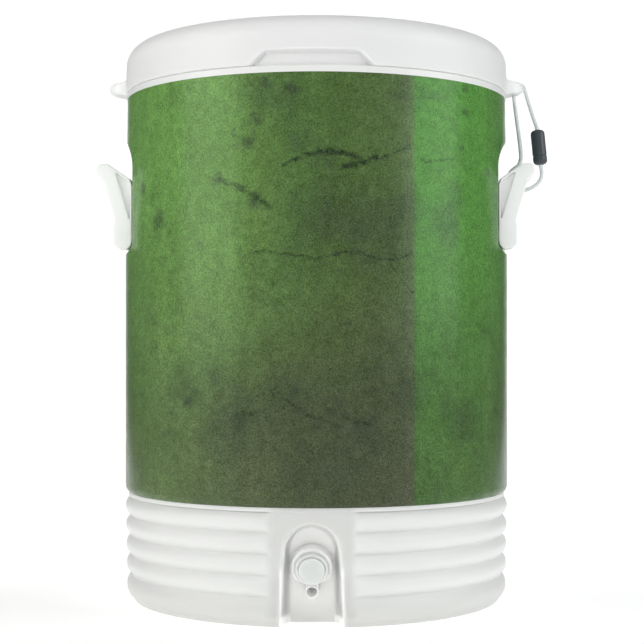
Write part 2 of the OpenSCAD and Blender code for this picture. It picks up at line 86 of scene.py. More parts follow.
class Shader:
    """A material's node tree, with short calls for the nodes used here."""

    def __init__(self, name):
        self.material = bpy.data.materials.new(name)
        self.material.use_nodes = True
        self.nodes = self.material.node_tree.nodes
        self.links = self.material.node_tree.links
        self.surface = self.nodes["Principled BSDF"]

    def put(self, socket, value):
        if isinstance(value, bpy.types.NodeSocket):
            self.links.new(value, socket)
        else:
            socket.default_value = value

    def node(self, kind, output=0, settings=None, **inputs):
        made = self.nodes.new("ShaderNode" + kind)
        for key, value in (settings or {}).items():
            setattr(made, key, value)
        for key, value in inputs.items():
            self.put(made.inputs[key.replace("_", " ")], value)
        return made.outputs[output]

    def place(self):
        return self.node("TexCoord", "Object")

    def axes(self):
        """The place's x, y and z."""
        split = self.nodes.new("ShaderNodeSeparateXYZ")
        self.put(split.inputs[0], self.place())
        return split.outputs

    def calc(self, operation, *values):
        """One sum, by a Math node."""
        made = self.nodes.new("ShaderNodeMath")
        made.operation = operation
        for socket, value in zip(made.inputs, values):
            self.put(socket, value)
        return made.outputs[0]

    def span(self, value, low, high, to_low=0.0, to_high=1.0):
        """Smooth step of a value from low to high, carried over to the second pair."""
        made = self.nodes.new("ShaderNodeMapRange")
        made.interpolation_type = "SMOOTHSTEP"
        for socket, number in zip(made.inputs, (value, low, high, to_low, to_high)):
            self.put(socket, number)
        return made.outputs[0]

    def mix(self, share, a, b):
        made = self.nodes.new("ShaderNodeMix")
        made.data_type = "RGBA"
        self.put(made.inputs[0], share)
        for socket, colour in ((made.inputs[6], a), (made.inputs[7], b)):
            self.put(socket, colour)
        return made.outputs[2]

    def noise(self, scale, detail=2.0, rough=0.5, vector=None, distortion=0.0):
        return self.node("TexNoise", 0, Scale=scale, Detail=detail, Roughness=rough,
                         Distortion=distortion, Vector=vector or self.place())

    def bump(self, height, distance):
        made = self.nodes.new("ShaderNodeBump")
        made.inputs["Strength"].default_value = 1.0
        made.inputs["Distance"].default_value = distance
        self.put(made.inputs["Height"], height)
        self.put(self.surface.inputs["Normal"], made.outputs[0])

    def set(self, name, value):
        """Puts a value or a node's output on a socket of the surface."""
        self.put(self.surface.inputs[name], value)


def rgb(red, green, blue):
    """A shader colour from the usual 0 to 255 display values."""
    def linear(value):
        value /= 255
        return value / 12.92 if value <= 0.04045 else ((value + 0.055) / 1.055) ** 2.4
    return (linear(red), linear(green), linear(blue), 1.0)


# How far the roughness falls and rises in patches
POLISH, SCUFF = 0.07, 0.0875


def moulded_plastic(name, light, shade, rough, grain, glow=0.0, scatter=14 * MM, tone=None):
    """Satin moulded plastic: faint colour drift, a fine spark-eroded grain and light scuffs.

    Glow is how much light enters the plastic and scatter is how far it goes. Tone is a function that shades
    the colour from place to place.
    """
    s = Shader(name)
    colour = s.mix(s.noise(9, 3, 0.55), shade, light)
    s.set("Base Color", tone(s, colour) if tone else colour)
    s.set("Roughness", s.span(s.noise(38, 4, 0.6), 0.3, 0.75, rough - POLISH, rough + SCUFF))
    fine = s.noise(1900, 2, 0.5)
    broad = s.noise(75, 2, 0.5)
    s.bump(s.calc("ADD", fine, s.calc("MULTIPLY", broad, 1.6)), grain)
    s.set("Specular IOR Level", 0.42)
    s.set("Subsurface Weight", glow)
    s.set("Subsurface Radius", (1.0, 1.0, 1.0))
    s.set("Subsurface Scale", scatter)
    return s.material


# The base's painted shade and light: its foot and the panel round the recess are painted greyer as shade, and
# the recess is painted whiter as light
FOOT_PAINTED_SHADE, FOOT_SHADE_SHARE, FOOT_SHADE_TOP_Z = rgb(190, 190, 186), 0.55, 34 * MM
PANEL_PAINTED_SHADE, PANEL_SHADE_SHARE = rgb(196, 197, 194), 0.35
PANEL_SHADE_EDGE = (40 * MM, 30 * MM)
PANEL_SHADE_DEPTH = (-150 * MM, -165 * MM)
RECESS_WALL_PAINTED_LIGHT, RECESS_FLOOR_PAINTED_LIGHT = rgb(254, 254, 252), rgb(240, 240, 238)
RECESS_LIGHT_EDGE, RECESS_FLOOR_LIGHT_EDGE = (28.5 * MM, 26.5 * MM), (18 * MM, 21.5 * MM)
RECESS_LIGHT_MOUTH, RECESS_LIGHT_BACK = (-175.5 * MM, -171 * MM), (-100 * MM, -110 * MM)


def base_painted_shade_and_light(s, colour):
    """The base's colour, with painted shade on its foot and panel and painted light in its spigot recess."""
    x, depth, height = s.axes()
    across = s.calc("ABSOLUTE", x)
    # Painted light: the spigot recess's walls and floor are painted whiter where shade falls in them
    recess = s.calc("MULTIPLY", s.span(across, *RECESS_LIGHT_EDGE), s.span(depth, *RECESS_LIGHT_MOUTH))
    recess = s.calc("MULTIPLY", recess, s.span(depth, *RECESS_LIGHT_BACK))
    # Painted shade: the base's colour is greyed towards its foot
    foot = s.span(height, 0, FOOT_SHADE_TOP_Z, FOOT_SHADE_SHARE, 0.0)
    # Painted shade: the front panel round the spigot recess is greyed
    panel = s.calc("MULTIPLY", s.span(across, *PANEL_SHADE_EDGE, 0.0, PANEL_SHADE_SHARE), s.span(depth, *PANEL_SHADE_DEPTH))
    outside = s.mix(foot, s.mix(panel, colour, PANEL_PAINTED_SHADE), FOOT_PAINTED_SHADE)
    floor = s.mix(foot, RECESS_FLOOR_PAINTED_LIGHT, FOOT_PAINTED_SHADE)
    return s.mix(recess, outside, s.mix(s.span(across, *RECESS_FLOOR_LIGHT_EDGE), floor, RECESS_WALL_PAINTED_LIGHT))


# The print's colours round the wall by angle in degrees from the front, near its top and near its foot
PRINT_EDGE = 29.0
CLEAN_END = 117.0
PRINT_HIGH = [(-180, (94, 137, 68)), (-75, (93, 140, 66)), (-46, (99, 140, 72)), (-23, (98, 138, 70)),
              (-15, (90, 122, 64)), (-6, (78, 107, 57)), (9, (73, 97, 51)), (18, (75, 97, 55)),
              (25, (83, 104, 66)), (PRINT_EDGE, (90, 112, 73)), (PRINT_EDGE + 0.1, (79, 136, 58)),
              (38, (84, 140, 62)), (60, (82, 132, 60)), (80, (74, 120, 56)),
              (CLEAN_END, (70, 116, 54)), (CLEAN_END + 0.1, (90, 132, 66)), (180, (94, 137, 68))]
PRINT_LOW = [(-180, (76, 96, 58)), (-75, (69, 94, 46)), (-46, (90, 110, 70)), (-23, (82, 96, 65)),
             (-6, (74, 83, 56)), (9, (69, 76, 53)), (18, (71, 78, 57)), (PRINT_EDGE, (79, 87, 66)),
             (PRINT_EDGE + 0.1, (71, 102, 55)), (60, (76, 105, 58)), (80, (58, 84, 41)),
             (CLEAN_END, (62, 86, 48)), (CLEAN_END + 0.1, (74, 92, 56)), (180, (76, 96, 58))]
STAIN = rgb(58, 70, 54)
CRACK = rgb(34, 46, 34)

# Cracks, each from one (angle, height) to another in degrees and mm, with its bow, width and strength
CRACKS = [
    ((-9, 389), (13, 398), 7, 1.9, 0.85), ((8, 388), (21, 398), 1, 2.3, 0.9),
    ((20, 398), (28, 408), 0, 1.2, 0.5), ((30, 397), (43, 401), -2, 1.3, 0.5),
    ((-27, 381), (-11, 354), 3, 2.4, 0.6), ((-17, 317), (2, 311), 1, 1.3, 0.6),
    ((1, 311), (14, 314), 5, 1.4, 0.65), ((13, 315), (28, 317), -4, 1.3, 0.65),
    ((21, 311), (29, 282), -3, 1.0, 0.6), ((-8, 195), (7, 172), -4, 2.0, 0.5),
    ((3, 188), (16, 172), -3, 2.2, 0.5), ((-23, 176), (-12, 184), 2, 1.8, 0.45)]

# Soft dark smudges and broad dark clouds, each as its angle, height and size
SMUDGES = [
    (-15, 430, 11), (-17, 412, 11), (-12, 461, 9), (-6, 457, 10), (48, 464, 6), (48, 443, 6), (46, 411, 5),
    (-58, 379, 9), (-50, 349, 12), (-27, 380, 8), (-15, 360, 10), (-37, 189, 9), (-34, 200, 6),
    (-4, 200, 9), (7, 190, 8), (-20, 177, 9), (13, 173, 8), (60, 390, 8)]
CLOUDS = [
    (4, 345, 46), (16, 338, 50), (26, 352, 34), (-22, 178, 44), (-6, 186, 46), (12, 172, 52), (24, 196, 40),
    (4, 130, 50), (-38, 200, 30), (46, 170, 30), (40, 345, 26), (-12, 452, 30)]

# Arc of the wall per degree, and how far noise bends a crack and roughens a smudge, in mm and in sizes
MM_PER_DEGREE = 3.16
WANDER = 16
RAGGED = 2.2


class Print(Shader):
    """The wall's print, drawn in millimetres round the wall and up it."""

    def __init__(self, name):
        super().__init__(name)
        x, y, z = self.axes()
        self.turn = self.calc("DEGREES", self.calc("ARCTAN2", x, self.calc("MULTIPLY", y, -1)))
        self.up = self.calc("MULTIPLY", z, 1000)
        self.wobble = [self.calc("SUBTRACT", self.noise(scale, 6, 0.75), 0.5) for scale in (34, 41)]
        self.torn = self.span(self.noise(150, 5, 0.75), 0.36, 0.56)

    def ramp(self, stops):
        """Colour by the angle round the wall."""
        made = self.nodes.new("ShaderNodeValToRGB")
        share = self.calc("ADD", self.calc("DIVIDE", self.turn, 360), 0.5)
        self.put(made.inputs[0], share)
        elements = made.color_ramp.elements
        for turn, colour in stops[1:-1]:
            elements.new((turn + 180) / 360).color = rgb(*colour)
        elements[0].color = rgb(*stops[0][1])
        elements[-1].color = rgb(*stops[-1][1])
        return made.outputs[0]

    def crack(self, start, end, bow, width, strength):
        """How dark a torn line is that runs from start to end and wanders on its way."""
        share = self.calc("DIVIDE", self.calc("SUBTRACT", self.turn, start[0]), end[0] - start[0])
        side = self.calc("SUBTRACT", self.calc("MULTIPLY", share, 2), 1)
        bowed = self.calc("MULTIPLY", self.calc("SUBTRACT", 1, self.calc("MULTIPLY", side, side)), bow)
        straight = self.calc("MULTIPLY", share, end[1] - start[1])
        line = self.calc("ADD", straight, self.calc("ADD", bowed, start[1]))
        wander = self.calc("MULTIPLY", self.wobble[0], WANDER)
        off = self.calc("SUBTRACT", self.calc("SUBTRACT", self.up, line), wander)
        near = self.span(self.calc("ABSOLUTE", off), width * 1.8, width * 0.3)
        within = self.span(self.calc("ABSOLUTE", side), 1.12, 0.85)
        return self.calc("MULTIPLY", self.calc("MULTIPLY", near, within), strength)

    def smudge(self, turn, up, size):
        """How dark a soft blot with a ragged outline is."""
        across = self.calc("MULTIPLY", self.calc("SUBTRACT", self.turn, turn), MM_PER_DEGREE)
        across = self.calc("ADD", across, self.calc("MULTIPLY", self.wobble[0], RAGGED * size))
        ragged = self.calc("MULTIPLY", self.wobble[1], RAGGED * size)
        rise = self.calc("ADD", self.calc("SUBTRACT", self.up, up), ragged)
        away = self.calc("SQRT", self.calc("ADD", self.calc("MULTIPLY", across, across),
                                           self.calc("MULTIPLY", rise, rise)))
        return self.span(away, size, 0.1 * size)

    def darkest(self, values):
        result = values[0]
        for value in values[1:]:
            result = self.calc("MAXIMUM", result, value)
        return result


def printed_wall():
    """Grungy green print round the wall, with the print's hard vertical edge right of the middle."""
    s = Print("printed_wall")
    cloud = s.calc("MULTIPLY", s.calc("SUBTRACT", s.noise(7, 5, 0.62, distortion=0.3), 0.5), 130)
    fade = s.span(s.calc("ADD", s.up, cloud), 120, 400)
    colour = s.mix(fade, s.ramp(PRINT_LOW), s.ramp(PRINT_HIGH))

    # Worn patches, streaks down the wall and dark stains
    stain = s.span(s.noise(21, 6, 0.68, distortion=0.5), 0.55, 0.72)
    colour = s.mix(s.calc("MULTIPLY", stain, 0.42), colour, STAIN)
    mottle = s.span(s.noise(110, 6, 0.75), 0.30, 0.70, 0.83, 1.17)
    drift = s.span(s.noise(15, 5, 0.68, distortion=0.4), 0.32, 0.68, 0.93, 1.07)
    streak = s.node("Mapping", 0, Vector=s.place(), Scale=(60.0, 60.0, 7.0))
    streaks = s.span(s.noise(1, 3, 0.6, streak), 0.32, 0.68, 0.96, 1.04)
    smudges = s.calc("MULTIPLY", s.darkest([s.smudge(*each) for each in SMUDGES]), 0.70)
    colour = s.mix(s.calc("MULTIPLY", smudges, s.span(s.torn, 0, 1, 0.35, 1.0)), colour, STAIN)
    clouds = s.calc("MULTIPLY", s.darkest([s.smudge(*each) for each in CLOUDS]), 0.42)
    colour = s.mix(clouds, colour, STAIN)
    cracks = s.calc("MULTIPLY", s.darkest([s.crack(*each) for each in CRACKS]), s.torn)
    colour = s.mix(cracks, colour, CRACK)

    # Fine speckle, as a share of the colour and then as a little light added to it
    speckle = s.span(s.noise(620, 3, 0.9), 0.30, 0.70, 0.60, 1.40)
    bright = s.calc("MULTIPLY", s.calc("MULTIPLY", mottle, drift), s.calc("MULTIPLY", streaks, speckle))
    colour = s.node("VectorMath", 0, {"operation": "SCALE"}, Vector=colour, Scale=bright)
    glint = s.span(s.noise(1300, 2, 0.6), 0.3, 0.7, -0.022, 0.022)
    added = s.nodes.new("ShaderNodeVectorMath")
    s.put(added.inputs[0], colour)
    s.put(added.inputs[1], glint)
    s.set("Base Color", added.outputs[0])
    s.set("Roughness", s.span(s.noise(60, 3, 0.6), 0.3, 0.7, 0.20, 0.27))
    s.set("Specular IOR Level", 0.18)
    s.bump(s.calc("ADD", s.noise(700, 2, 0.6), s.calc("MULTIPLY", s.noise(45, 2, 0.5), 1.2)), 0.05 * MM)
    return s.material


def metal(name, colour, rough):
    """Turned metal with fine marks round and along."""
    s = Shader(name)
    s.set("Base Color", s.mix(s.noise(60, 3), colour, tuple(c * 0.8 for c in colour[:3]) + (1.0,)))
    s.set("Metallic", 1.0)
    s.set("Roughness", s.span(s.noise(300, 3, 0.6), 0.3, 0.7, rough - 0.06, rough + 0.12))
    s.bump(s.noise(2600, 2), 0.02 * MM)
    return s.material


def rubber(name, colour):
    """Matte rubber with a dusty bloom."""
    s = Shader(name)
    dusty = tuple(min(1.0, c * 1.5 + 0.01) for c in colour[:3]) + (1.0,)
    s.set("Base Color", s.mix(s.span(s.noise(45, 5, 0.65), 0.45, 0.75), colour, dusty))
    s.set("Roughness", s.span(s.noise(140, 3), 0.3, 0.7, 0.62, 0.82))
    s.bump(s.noise(1500, 3), 0.04 * MM)
    return s.material


def foam(name):
    """Cut rigid foam with small open cells."""
    s = Shader(name)
    cells = s.node("TexVoronoi", "Distance", Vector=s.place(), Scale=900.0)
    s.set("Base Color", s.mix(s.span(cells, 0.1, 0.6), rgb(196, 174, 112), rgb(226, 208, 150)))
    s.set("Roughness", 0.9)
    s.bump(cells, 0.3 * MM)
    return s.material


def woven_cord(name):
    """White polyester cord: the braid's relief is in the mesh, and this adds its yarn and its grime."""
    s = Shader(name)
    grime = s.span(s.noise(260, 4, 0.6), 0.4, 0.75)
    s.set("Base Color", s.mix(grime, rgb(228, 232, 233), rgb(212, 216, 217)))
    s.set("Roughness", 0.8)
    s.set("Sheen Weight", 0.3)
    s.bump(s.noise(4200, 2), 0.05 * MM)
    return s.material


# ---------------------------------------------------------------- mesh helpers

def add_mesh(name, points, faces, material, smooth_angle=math.radians(40)):
    mesh = bpy.data.meshes.new(name)
    mesh.from_pydata([tuple(p) for p in points], [], faces)
    mesh.validate()
    mesh.update()
    obj = bpy.data.objects.new(name, mesh)
    bpy.context.scene.collection.objects.link(obj)
    mesh.materials.append(material)
    finish_shading(obj, smooth_angle)
    return obj


def finish_shading(obj, angle):
    mesh = obj.data
    mesh.shade_smooth()
    mesh.set_sharp_from_angle(angle=angle)


def skin(name, rings, material, closed=False, smooth_angle=math.radians(40)):
    """Closed mesh through rings of points. Its ends close in a fan each, or into each other."""
    count = len(rings[0])
    step = np.arange(count)
    after = (step + 1) % count
    faces = []
    pairs = [(i, i + 1) for i in range(len(rings) - 1)]
    if closed:
        pairs.append((len(rings) - 1, 0))
    for a, b in pairs:
        faces += np.stack([a * count + step, a * count + after, b * count + after,
                           b * count + step], 1).tolist()
    points = np.concatenate(rings)
    if not closed:
        first, last = len(points), len(points) + 1
        base = (len(rings) - 1) * count
        points = np.concatenate([points, [rings[0].mean(0)], [rings[-1].mean(0)]])
        faces += np.stack([np.full(count, first), after, step], 1).tolist()
        faces += np.stack([np.full(count, last), base + step, base + after], 1).tolist()
    return add_mesh(name, points, faces, material, smooth_angle)


def angles(step, *dense):
    """Angles round the axis in radians, closer within each (centre, half width, step) in degrees."""
    free = np.arange(-180.0, 180.0, step)
    parts = []
    for centre, half, fine in dense:
        free = free[np.abs(free - centre) > half]
        parts.append(np.arange(centre - half, centre + half + fine / 2, fine))
    return np.radians(np.sort(np.concatenate([free] + parts)))


def ring(turn, radius, z):
    """Points at the angles from the front, counted towards +X."""
    radius = np.broadcast_to(radius, turn.shape)
    return np.stack([radius * np.sin(turn), -radius * np.cos(turn), np.broadcast_to(z, turn.shape)], 1)


def soft_min(a, b, k):
    """The smaller of two numbers, rounded over about k where they are close."""
    h = np.clip(0.5 + 0.5 * (b - a) / k, 0, 1)
    return b + (a - b) * h - k * h * (1 - h)


def smooth(value, low, high):
    """Smooth step from 0 at low to 1 at high."""
    t = np.clip((value - low) / (high - low), 0, 1)
    return t * t * (3 - 2 * t)


def bulge(z, z0, z1, height):
    """How far an arc of the given height between z0 and z1 stands out at z."""
    half = (z1 - z0) / 2
    radius = (half * half + height * height) / (2 * height)
    off = np.clip(z - (z0 + z1) / 2, -half, half)
    return np.sqrt(radius * radius - off * off) - (radius - height)


def close_to_ends(low, high, count):
    """Heights from low to high that lie closest together near both ends."""
    t = (1 - np.cos(np.linspace(0, math.pi, count))) / 2
    return low + (high - low) * t


def apply_modifiers(obj):
    """Replaces an object's mesh by what its modifiers make of it."""
    evaluated = obj.evaluated_get(bpy.context.evaluated_depsgraph_get())
    mesh = bpy.data.meshes.new_from_object(evaluated)
    obj.modifiers.clear()
    obj.data = mesh


def moulded_copy(node, name, voxel, material, passes, extra=None, reshape=None):
    """A copy of a CAD solid with the softened edges of a moulding, at the voxel's size.

    Extra is an object that is merged in, and reshape moves the copy's points first.
    """
    obj = bpy.data.objects.new(name, NODES[node].data.copy())
    bpy.context.scene.collection.objects.link(obj)
    if reshape:
        for vertex in obj.data.vertices:
            vertex.co = reshape(vertex.co)
    if extra:
        both = bmesh.new()
        both.from_mesh(obj.data)
        both.from_mesh(extra.data)
        both.to_mesh(obj.data)
        both.free()
        bpy.data.objects.remove(extra)
    remesh = obj.modifiers.new("voxels", "REMESH")
    remesh.mode = "VOXEL"
    remesh.voxel_size = voxel
    soften = obj.modifiers.new("soften", "SMOOTH")
    soften.factor = 0.5
    soften.iterations = passes
    apply_modifiers(obj)
    obj.data.materials.clear()
    obj.data.materials.append(material)
    finish_shading(obj, math.pi)
    return obj


def tube_rings(path, sides, radius_at):
    """Rings of points round a path that lies in the plane y = 0."""
    heading = np.gradient(path, axis=0)
    heading /= np.linalg.norm(heading, axis=1)[:, None]
    across = np.cross(heading, (0.0, 1.0, 0.0))
    turn = np.arange(sides) * 2 * math.pi / sides
    run = np.concatenate([[0], np.cumsum(np.linalg.norm(np.diff(path, axis=0), axis=1))])
    rings = []
    for point, side, along in zip(path, across, run):
        radius = radius_at(turn, along)
        rings.append(point + radius[:, None] * (np.cos(turn)[:, None] * np.array((0.0, 1.0, 0.0))
                                                + np.sin(turn)[:, None] * side))
    return rings


# ---------------------------------------------------------------- cord

# The route's points, as x and z in the plane y = 0
CORD_ROUTE = np.array([
    (0.2132, 0.4166), (0.2136, 0.4110), (0.2148, 0.4050), (0.2146, 0.3990), (0.2118, 0.3936),
    (0.2070, 0.3898), (0.2014, 0.3874), (0.1950, 0.3866), (0.1890, 0.3882), (0.1848, 0.3926),
    (0.1837, 0.3986), (0.1856, 0.4042), (0.1896, 0.4076), (0.1932, 0.4110), (0.1949, 0.4160),
    (0.1950, 0.4220), (0.1930, 0.4400), (0.1906, 0.4580), (0.1886, 0.4740), (0.1885, 0.4810),
    (0.1899, 0.4850), (0.1936, 0.4867), (0.1971, 0.4852), (0.1988, 0.4820), (0.2014, 0.4734),
    (0.2058, 0.4590), (0.2101, 0.4462), (0.2110, 0.4384)])
CORD_D = 3.8 * MM
CORD_STEPS = 24
BRAID_PITCH = 9 * MM
BRAID_YARNS = 8
BRAID_RELIEF = 0.12 * MM


def cord_path(first=0, last=len(CORD_ROUTE) - 1, steps=CORD_STEPS):
    """Points of one smooth curve through the route, from one of its points to another."""
    points = []
    for t in np.linspace(first, last, (last - first) * steps + 1):
        i = min(int(t), len(CORD_ROUTE) - 2)
        u = t - i
        a, b, c = CORD_ROUTE[max(i - 1, 0)], CORD_ROUTE[i], CORD_ROUTE[i + 1]
        d = CORD_ROUTE[min(i + 2, len(CORD_ROUTE) - 1)]
        x, z = 0.5 * (2 * b + (c - a) * u + (2 * a - 5 * b + 4 * c - d) * u * u
                      + (3 * b - a - 3 * c + d) * u ** 3)
        points.append((x, 0.0, z))
    return np.array(points)


def braid_radius(turn, along):
    """Radius of a braided cord: two sets of yarns wound opposite ways."""
    wind = 2 * math.pi * along / BRAID_PITCH
    one = np.cos(BRAID_YARNS * turn + 2 * wind)
    other = np.cos(BRAID_YARNS * turn - 2 * wind)
    return CORD_D / 2 - BRAID_RELIEF + BRAID_RELIEF * np.maximum(one, other)


def add_cord(material):
    path = cord_path()
    cord = skin("braided_tether", tube_rings(path, 48, braid_radius), material)
    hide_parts("tether_cord")
    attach(cord, "jug")
    return cord, path


# ---------------------------------------------------------------- base

GROOVE_R = 174.5 * MM
LIP_R, LIP_IN, LIP_TOP = 177.9 * MM, 175.5 * MM, 110 * MM
RIBS = [(4, 26, 5.2), (26, 44, 5.6), (44, 62, 5.9), (62, 80, 6.2), (80, 98, 6.5)]
PANEL_R = 177.5 * MM
PANEL_FADE = (33 * MM, 41 * MM)
EDGE_BLUR = 1.0 * MM
DIMPLE_X, DIMPLE_Z, DIMPLE = 31 * MM, 38 * MM, 2.6 * MM
DIMPLE_WIDE, DIMPLE_TALL = 7 * MM, 12 * MM
RIB_SOFT = np.linspace(-1.4, 1.4, 5) * MM
RIM_SOFT = 6 * MM
FOOT_R = 171 * MM
FOOT_IN = 156 * MM
FOOT_H = 4 * MM
TILT = math.radians(15)
RECESS_HALF = 20.7 * MM
RECESS_RISE = 13.5 * MM
RECESS_FLARE = 7.5 / 36
RECESS_CURL, RECESS_DEEP = 2.5 * MM, 33 * MM
SPIGOT_Z = 54 * MM
FLOOR_Y = 144 * MM + SPIGOT_Z * math.tan(TILT)
HOLLOW_Y, HOLLOW_Z, HOLLOW_R = 212 * MM, 34 * MM, 40 * MM


def recess_frame(turn, radius, z):
    """Across, up along the recess floor, and out from it, of points at these angles, radii and heights."""
    x = radius * np.sin(turn)
    back = FLOOR_Y - radius * np.cos(turn)
    up = z - SPIGOT_Z
    v = up * math.cos(TILT) - back * math.sin(TILT)
    w = -up * math.sin(TILT) - back * math.cos(TILT)
    return x, v, w


def recess_side(turn, radius, z):
    """Above 0 within the recess: the distance inside its arch-topped wall, or above its floor."""
    x, v, w = recess_frame(turn, radius, z)
    curl = RECESS_CURL * (np.clip(w, 0, 1) / RECESS_DEEP) ** 3
    half = RECESS_HALF + RECESS_FLARE * np.maximum(w, 0) + curl
    reach = np.where(v < RECESS_RISE, np.abs(x), np.hypot(x, v - RECESS_RISE))
    return np.minimum(w, half - reach)


def recess_radius(turn, z):
    """Radius at which the recess's floor or wall lies, by halving. Far out where there is no recess."""
    low = np.full(turn.shape, 120 * MM)
    high = np.full(turn.shape, 230 * MM)
    for _ in range(26):
        middle = (low + high) / 2
        inside = recess_side(turn, middle, z) > 0
        high = np.where(inside, middle, high)
        low = np.where(inside, low, middle)
    return high


def rib_radius(z):
    """Radius of the ribbed side at a height, clear of the spigot's panel."""
    if z < RIBS[0][0] * MM:
        return FOOT_R + (GROOVE_R - FOOT_R) * math.sqrt(max(z, 0) / (RIBS[0][0] * MM))
    for z0, z1, height in RIBS:
        if z <= z1 * MM:
            return GROOVE_R + bulge(z, z0 * MM, z1 * MM, height * MM)
    return GROOVE_R


def base_radius(turn, z):
    """Radius of the base's outside: ribs that fade into the spigot's panel, its dimples, and its recess."""
    steps = RIB_SOFT if z > 6 * MM else [0]
    rib = np.mean([rib_radius(z + step) for step in steps])
    flat = min(PANEL_R, rib) if z < 10 * MM else PANEL_R
    across = np.abs(np.sin(turn)) * PANEL_R
    fade = np.where(np.cos(turn) > 0, smooth(across, *PANEL_FADE), 1.0)
    outer = flat + (rib - flat) * fade
    if abs(z - HOLLOW_Z) < HOLLOW_R:
        scooped_y = HOLLOW_Y - math.sqrt(HOLLOW_R ** 2 - (z - HOLLOW_Z) ** 2)
        outer = soft_min(outer, scooped_y / np.maximum(np.cos(turn), 0.3), 3 * MM)
    off = (across - DIMPLE_X) / DIMPLE_WIDE
    dimple = DIMPLE * np.exp(-off ** 2 - ((z - DIMPLE_Z) / DIMPLE_TALL) ** 2) * (np.cos(turn) > 0)
    return soft_min(outer - dimple, recess_radius(turn, z), RIM_SOFT)


def blur_weights(place, spread):
    """Weights that blur samples taken at these places over about the given spread."""
    gaps = np.gradient(place)
    weights = np.exp(-0.5 * ((place[:, None] - place[None, :]) / spread) ** 2) * gaps[None, :]
    return weights / weights.sum(1)[:, None]


def add_base(material):
    """The base skirt: rings from the underside's middle, up the outside, over the lip and down the inside."""
    turn = angles(0.75, (0, 14, 0.08))
    heights = [np.array([0, 0.4, 1.0, 2.0, 3.0]) * MM]
    heights += [close_to_ends(z0 * MM, z1 * MM, 15)[:-1] for z0, z1, _ in RIBS]
    heights = np.unique(np.concatenate(heights + [np.arange(83, 93, 0.4) * MM, [SEAM_Z]]))
    outer = np.stack([base_radius(turn, z) for z in heights])
    softened = blur_weights(heights, EDGE_BLUR) @ outer @ blur_weights(turn * PANEL_R, EDGE_BLUR).T
    near = smooth(-np.abs(turn), -math.radians(13), -math.radians(11))
    near = near * smooth(heights, 1 * MM, 6 * MM)[:, None]
    outer = outer + (softened - outer) * near
    lip = [(LIP_R, SEAM_Z + 0.1 * MM), (LIP_R, LIP_TOP), (LIP_IN, LIP_TOP), (LIP_IN, SEAM_Z + 0.1 * MM)]
    opening = recess_radius(turn, 0.0)
    foot = np.minimum(FOOT_IN, opening - WALL)
    rings = [ring(turn, np.minimum(20 * MM, foot), FOOT_H), ring(turn, np.minimum(120 * MM, foot), FOOT_H),
             ring(turn, foot - 0.6 * MM, FOOT_H), ring(turn, foot, FOOT_H - 0.6 * MM),
             ring(turn, foot + 0.3 * MM, 0.4 * MM),
             ring(turn, np.minimum(foot + 1 * MM, opening - 0.3 * MM), 0.0),
             ring(turn, np.minimum(outer[0], opening) - 0.4 * MM, 0.0)]
    rings += [ring(turn, r, z) for r, z in zip(outer, heights)]
    rings += [ring(turn, r, z) for r, z in lip]
    inner = [np.minimum(GROOVE_R - 4 * MM, r - WALL) for r in outer]
    rings += [ring(turn, r, z) for r, z in reversed(list(zip(inner, heights))) if z > 2 * FOOT_H]
    rings += [ring(turn, np.minimum(120 * MM, inner[0]), 2 * FOOT_H), ring(turn, 20 * MM, 2 * FOOT_H)]
    base = skin("moulded_base", rings, material, smooth_angle=math.radians(62))
    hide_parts("base_skirt")
    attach(base, "jug")


# ---------------------------------------------------------------- wall

POCKET_X = 171 * MM
POCKET_R = 600 * MM
POCKET_LOW, POCKET_HIGH = 334 * MM, 402 * MM
SCOOP_TOP_R, SCOOP_LOW_R = 50 * MM, 10 * MM
TAPER_FROM = 324 * MM
SHELL_TOP_R = 179.2 * MM
TURN_IN_R = 8 * MM
WALL_TURN_Z = 108 * MM


def pocket_radius(turn, z):
    """Radius at which a finger pocket's floor lies: a wide arc in plan, with scooped ends."""
    if z > POCKET_HIGH:
        rise = min(z - POCKET_HIGH, SCOOP_TOP_R * 0.999)
        plan = POCKET_R + SCOOP_TOP_R - math.sqrt(SCOOP_TOP_R ** 2 - rise ** 2)
    elif z < POCKET_LOW:
        drop = min(POCKET_LOW - z, SCOOP_LOW_R * 0.999)
        plan = POCKET_R + SCOOP_LOW_R - math.sqrt(SCOOP_LOW_R ** 2 - drop ** 2)
        if POCKET_LOW - z >= SCOOP_LOW_R:
            plan += 60 * MM
    else:
        plan = POCKET_R
    centre = POCKET_R - POCKET_X
    side = np.abs(np.sin(turn))
    return -centre * side + np.sqrt(plan ** 2 - centre ** 2 * (1 - side ** 2))


def wall_radius(z):
    """Radius of the wall's outside, clear of its pockets."""
    if z < WALL_TURN_Z:
        return SHELL_R - TURN_IN_R + math.sqrt(TURN_IN_R ** 2 - (WALL_TURN_Z - z) ** 2)
    return np.interp(z, [TAPER_FROM, SHELL_TOP], [SHELL_R, SHELL_TOP_R])


def add_wall(material):
    """The printed wall: a closed skin, thinner where it laps over the base's lip."""
    turn = angles(0.6, (90, 20, 0.25), (-90, 20, 0.25))
    heights = np.unique(np.concatenate([
        np.linspace(SHELL_LOW.z, LIP_TOP, 12), np.linspace(LIP_TOP, 315 * MM, 14),
        np.arange(315, 345, 0.75) * MM, np.linspace(345 * MM, 400 * MM, 14),
        np.arange(402, 445, 1.5) * MM, np.linspace(446 * MM, SHELL_TOP, 5)]))
    outer = [soft_min(wall_radius(z), pocket_radius(turn, z), 1.2 * MM) for z in heights]
    rings = [ring(turn, r, z) for r, z in zip(outer, heights)]
    inner = [r - WALL if z > LIP_TOP else np.minimum(r - 0.2 * MM, LIP_R + 0.1 * MM)
             for r, z in zip(outer, heights)]
    rings += [ring(turn, r, z) for r, z in reversed(list(zip(inner, heights)))]
    wall = skin("printed_wall", rings, material, closed=True)
    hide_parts("outer_shell")
    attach(wall, "jug")


# ---------------------------------------------------------------- lid

